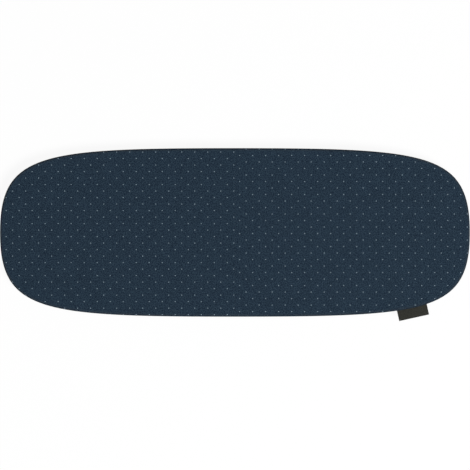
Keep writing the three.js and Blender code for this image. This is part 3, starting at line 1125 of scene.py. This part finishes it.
binding_line = rounded_section([
    (HEM_START, HEM_MIDDLE - PINCH, 0),
    (PINCH_END, HEM_MIDDLE - PINCH, PINCH_ROUND),
    (CHANNEL_START, HEM_LOW, PINCH_ROUND),
    (HEM_END, HEM_LOW, FOLD_RADIUS),
    (HEM_END, HEM_HIGH, FOLD_RADIUS),
    (CHANNEL_START, HEM_HIGH, PINCH_ROUND),
    (PINCH_END, HEM_MIDDLE + PINCH, PINCH_ROUND),
    (HEM_START, HEM_MIDDLE + PINCH, 0),
])
band_line = rounded_section([
    (BAND_MIDDLE, BAND_LOW, 0),
    (BAND_END, BAND_LOW, BAND_CORNER),
    (BAND_END, BAND_HIGH, BAND_CORNER),
    (BAND_START, BAND_HIGH, BAND_CORNER),
    (BAND_START, BAND_LOW, BAND_CORNER),
    (BAND_MIDDLE, BAND_LOW, 0),
])
binding = follow_hem("bias_binding", binding_line, hem_tape, spacing=1.6 * MM, wall=TAPE)
band = follow_hem("elastic_band", band_line, elastic_knit, spacing=1 * MM)
on_cover(binding, "binding_tape", "hem_binding")
on_cover(band, "elastic", "hem_elastic")

# %% [markdown]
# ## Stitches
# A row of stitches repeats along a path, which is what geometry nodes do best. The tree
# puts a short rounded thread on the path at every pitch, turned along it, and can swing
# every other one to make a zigzag. It ends in real geometry with its thread finish.

# %% Build the tree for a stitch row
def build_stitch_tree():
    tree, given, result = new_tree(
        "Stitch row", "GeometryNodeTree",
        [("Geometry", "Geometry"), ("Pitch", "Float", 0.003), ("Stitch length", "Float", 0.0024),
         ("Thread radius", "Float", 0.0002), ("Swing", "Float", 0.0), ("Thread", "Material")],
        [("Geometry", "Geometry")])
    path = add_node(tree, "GeometryNodeMeshToCurve", {0: given["Geometry"]})
    points = add_node(tree, "GeometryNodeCurveToPoints", {
        "Curve": path.outputs[0], "Length": given["Pitch"]}, mode="LENGTH")
    ball = add_node(tree, "GeometryNodeMeshUVSphere", {"Segments": 6, "Rings": 4, "Radius": 1.0})
    bead = add_node(tree, "GeometryNodeSetShadeSmooth", {"Geometry": ball.outputs["Mesh"]})
    size = combine(tree, X=multiply(tree, given["Stitch length"], 0.5),
                   Y=given["Thread radius"], Z=given["Thread radius"])
    facing = add_node(tree, "FunctionNodeAlignRotationToVector", {
        "Vector": points.outputs["Tangent"]}, axis="X")
    index = add_node(tree, "GeometryNodeInputIndex").outputs[0]
    odd = do_math(tree, "MODULO", index, 2.0)
    parity = do_math(tree, "SUBTRACT", multiply(tree, odd, 2.0), 1.0)
    swing = combine(tree, Z=multiply(tree, parity, given["Swing"]))
    turned = add_node(tree, "FunctionNodeRotateRotation", {
        "Rotation": facing.outputs[0], "Rotate By": swing}, rotation_space="LOCAL")
    row = add_node(tree, "GeometryNodeInstanceOnPoints", {
        "Points": points.outputs["Points"], "Instance": bead.outputs[0],
        "Rotation": turned.outputs[0], "Scale": size})
    end_tree(tree, row.outputs[0], given["Thread"], result)
    return tree


stitch_tree = build_stitch_tree()
print("stitch tree", len(stitch_tree.nodes), "nodes")

# %% [markdown]
# ## Where the stitches run
# One row holds the binding's two leaves to the skirt, and shows on both. An overcast row
# keeps the turned-in edges of the rim seam from fraying.

# %% Sew the hem and overcast the seam edges
HEM_ROW_INSET = HEM_START + 1.6 * MM
OVERCAST_INSET = SEAM_EDGE - 1.2 * MM
OVERCAST_HEIGHT = RIM_SEAM - CLOTH + 0.1 * MM
PATH_STEP = 1.2 * MM


def thread_path(name, rows):
    """Edges at (inset, height, follows the gathers) all round the rim."""
    count = math.ceil(PERIMETER / PATH_STEP)
    along = np.linspace(0, PERIMETER, count + 1)[:-1]
    point, outward = on_rim(along)
    places, edges = [], []
    for first, (inset, height, share) in enumerate(rows):
        level = height + gather(along) * share
        places.append(np.concatenate([point - outward * inset, level], 1))
        edges.extend((first * count + k, first * count + (k + 1) % count) for k in range(count))
    mesh = bpy.data.meshes.new(name)
    mesh.from_pydata(np.concatenate(places).tolist(), edges, [])
    return link_object(name, mesh)


def sew(name, slot, rows, **sizes):
    piece = thread_path(name, rows)
    add_tree(piece, stitch_tree, thread=navy_thread, **sizes)
    on_cover(keep_result(piece), slot)


sew("hem_stitches", "binding_tape",
    [(HEM_ROW_INSET, HEM_MIDDLE + side * PINCH, 1) for side in (-1, 1)],
    pitch=3 * MM, stitch_length=2.5 * MM, thread_radius=0.18 * MM, swing=0.0)
sew("seam_overcast", "skirt_cloth", [(OVERCAST_INSET, OVERCAST_HEIGHT, 0)],
    pitch=2 * MM, stitch_length=2.9 * MM, thread_radius=0.14 * MM, swing=0.9)

# %% [markdown]
# ## The side label
# The label is a ribbon folded double, with both ends sewn into the rim seam. It stands out
# flat from the seam.

# %% Fold the label
LABEL_COLUMNS = 44
LABEL_ROWS = 20
SEWN_IN = 1.4 * MM
LABEL_FOLD = RIBBON + 0.03 * MM
LABEL_FOLD_STEPS = 8
LABEL_WAVE = 0.22 * MM
LABEL_WAVE_LENGTH = 9 * MM
LABEL_WAVE_SHIFT = 0.5
RIM_NEAR = 30 * MM


def label_piece():
    """Two leaves in columns, from the sewn ends out to the fold and back."""
    side = np.array([label_out[1], -label_out[0]])
    local = outline - label_root
    across, reach = local @ side, local @ label_out
    near = (np.abs(reach) < RIM_NEAR) & (np.abs(across) < LABEL_WIDTH)
    order = np.argsort(across[near])
    width = np.linspace(-LABEL_WIDTH / 2, LABEL_WIDTH / 2, LABEL_COLUMNS + 1)
    sewn = np.interp(width, across[near][order], reach[near][order]) - SEWN_IN
    fold_at = LABEL_REACH - LABEL_FOLD
    share = np.linspace(0, 1, LABEL_ROWS + 1)
    angle = np.linspace(math.pi / 2, -math.pi / 2, LABEL_FOLD_STEPS + 1)[1:-1]
    places, cloth_map = [], []
    for column, start in zip(width, sewn):
        out = start + (fold_at - start) * share
        reach_row = np.concatenate([out, fold_at + LABEL_FOLD * np.cos(angle), out[::-1]])
        leaf = np.full(len(out), LABEL_FOLD)
        height = np.concatenate([leaf, LABEL_FOLD * np.sin(angle), -leaf])
        bow = LABEL_WAVE * math.sin(column / LABEL_WAVE_LENGTH + LABEL_WAVE_SHIFT) * (
            np.clip(reach_row, 0, None) / LABEL_REACH) ** 2
        flat = label_root + np.outer(reach_row, label_out) + column * side
        places.append(np.column_stack([flat, RIM_SEAM + height + bow]))
        path = travelled(np.column_stack([reach_row, height]))
        cloth_map.append(np.column_stack([np.full(len(path), column), path]))
    quads = grid_faces(len(width), len(path))
    piece = mesh_from("side_label", quads, {}, np.concatenate(cloth_map))
    piece.data.vertices.foreach_set("co", np.concatenate(places).astype(np.float32).ravel())
    piece.data.materials.append(label_ribbon)
    piece.data.update()
    thicken(piece, RIBBON)
    return keep_result(piece)


label = label_piece()
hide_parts("edge_label")
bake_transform(label)
report(label)

# %% [markdown]
# ## Cut sizes
# The size that each piece of cloth and the label was cut to is printed. The cut sizes come
# from the cloth maps, which are the flat patterns.

def cut_size(piece):
    """Length and width of the flat pattern."""
    layer = piece.data.uv_layers["ClothMap"].data
    uv = np.zeros(len(layer) * 2)
    layer.foreach_get("uv", uv)
    length, width = np.ptp(uv.reshape(-1, 2), 0)
    print(piece.name, "pattern", round(length, 3), "by", round(width, 3), "m")
    return length, width


for piece in face_cloth.values():
    length, width = cut_size(piece)
for piece in skirt.values():
    length, width = cut_size(piece)
tape_width = cut_size(binding)[1]
cut_size(label)

# %% [markdown]
# ## Camera
# The photograph looks straight down from far away. A long lens at three metres gives the
# same even view, with the cover's length just inside the frame.

# %% Put the camera overhead
LENS = 135
SENSOR = 36
VIEW_WIDTH = 814.1 * MM
RIM_PLANE = (COVER_TOP + RIM_SEAM) / 2
VIEW_CENTRE = (0.12 * MM, -4.46 * MM)

lens = bpy.data.cameras.new("camera")
lens.lens = LENS
lens.sensor_width = SENSOR
camera = link_object("camera", lens)
camera.location = (*VIEW_CENTRE, RIM_PLANE + VIEW_WIDTH * LENS / SENSOR)
bpy.context.scene.camera = camera
print("camera height", round(camera.location.z, 3), "m")

# %% [markdown]
# ## Floor, world and light
# The background is pure white. For rays that show it directly, the floor glows just under
# white and has a little grey on top, which takes the cover's faint shadow. For all other
# light it is a plain pale floor that glows by nothing, so the skirt gets the soft light
# that a real floor throws back. The world is white where it is seen and dim as a light.
# World and lamp together light a white card to 1, so colours come out as written.

# %% White floor and world
FLOOR_HALF = 30
FLOOR_GREY = 0.07
FLOOR_GLOW = 0.93
FLOOR_BOUNCE = 0.5
GLOW_START = 0.7
GLOW_END = 2.0
FILL = 0.15


def seen_directly(tree):
    """1 for rays that show the background itself."""
    path = add_node(tree, "ShaderNodeLightPath").outputs
    seen = do_math(tree, "MAXIMUM", path["Is Camera Ray"], path["Is Glossy Ray"])
    return do_math(tree, "MAXIMUM", seen, path["Is Transmission Ray"])


def white_floor():
    mesh = bpy.data.meshes.new("floor")
    corners = [(-1, -1), (1, -1), (1, 1), (-1, 1)]
    mesh.from_pydata([(x * FLOOR_HALF, y * FLOOR_HALF, HEM_LOW) for x, y in corners],
                     [], [(0, 1, 2, 3)])
    material, tree = new_material("white floor")
    tree.nodes.clear()
    away = add_node(tree, "ShaderNodeVectorMath", {0: coordinates(tree, "Object")},
                    operation="LENGTH").outputs["Value"]
    glow = map_range(tree, away, GLOW_START, GLOW_END, FLOOR_GLOW, 1.0)
    light = add_node(tree, "ShaderNodeEmission", {
        "Strength": multiply(tree, glow, seen_directly(tree))})
    albedo = map_range(tree, seen_directly(tree), 0.0, 1.0, FLOOR_BOUNCE, FLOOR_GREY)
    grey = add_node(tree, "ShaderNodeBsdfDiffuse", {"Color": albedo})
    both = add_node(tree, "ShaderNodeAddShader", {0: light.outputs[0], 1: grey.outputs[0]})
    add_node(tree, "ShaderNodeOutputMaterial", {"Surface": both.outputs[0]})
    mesh.materials.append(material)
    link_object("floor", mesh)


def white_world():
    world = bpy.data.worlds.new("white world")
    bpy.context.scene.world = world
    world.use_nodes = True
    tree = world.node_tree
    tree.nodes.clear()
    back = add_node(tree, "ShaderNodeBackground", {
        "Color": (1, 1, 1, 1), "Strength": map_range(tree, seen_directly(tree), 0.0, 1.0, FILL)})
    add_node(tree, "ShaderNodeOutputWorld", {"Surface": back.outputs[0]})


white_floor()
white_world()
bpy.context.scene.view_settings.view_transform = "Standard"
print("floor at", round(HEM_LOW / MM, 2), "mm")

# %% [markdown]
# ## Key light
# The right-hand and near rims are a little lighter and the far rim is dark, so the one
# large soft lamp stands high to the right and the near side. A lower lamp would make the
# near rims too bright. Its power follows from its distance, so that it adds the share
# that the world leaves.

# %% Key light
KEY_DISTANCE = 8
KEY_ELEVATION = math.radians(55)
KEY_HEADING = math.radians(-40)
KEY_SIZE = 3.2

direction = Vector((
    math.cos(KEY_ELEVATION) * math.cos(KEY_HEADING),
    math.cos(KEY_ELEVATION) * math.sin(KEY_HEADING),
    math.sin(KEY_ELEVATION)))
key_data = bpy.data.lights.new("key", "AREA")
key_data.shape = "DISK"
key_data.size = KEY_SIZE
key_data.energy = (1 - FILL) * (math.pi * KEY_DISTANCE) ** 2 / math.sin(KEY_ELEVATION)
key = link_object("key", key_data)
key.location = direction * KEY_DISTANCE
key.rotation_mode = "QUATERNION"
key.rotation_quaternion = direction.to_track_quat("Z", "Y")
print("key light", round(key_data.energy, 1), "W")
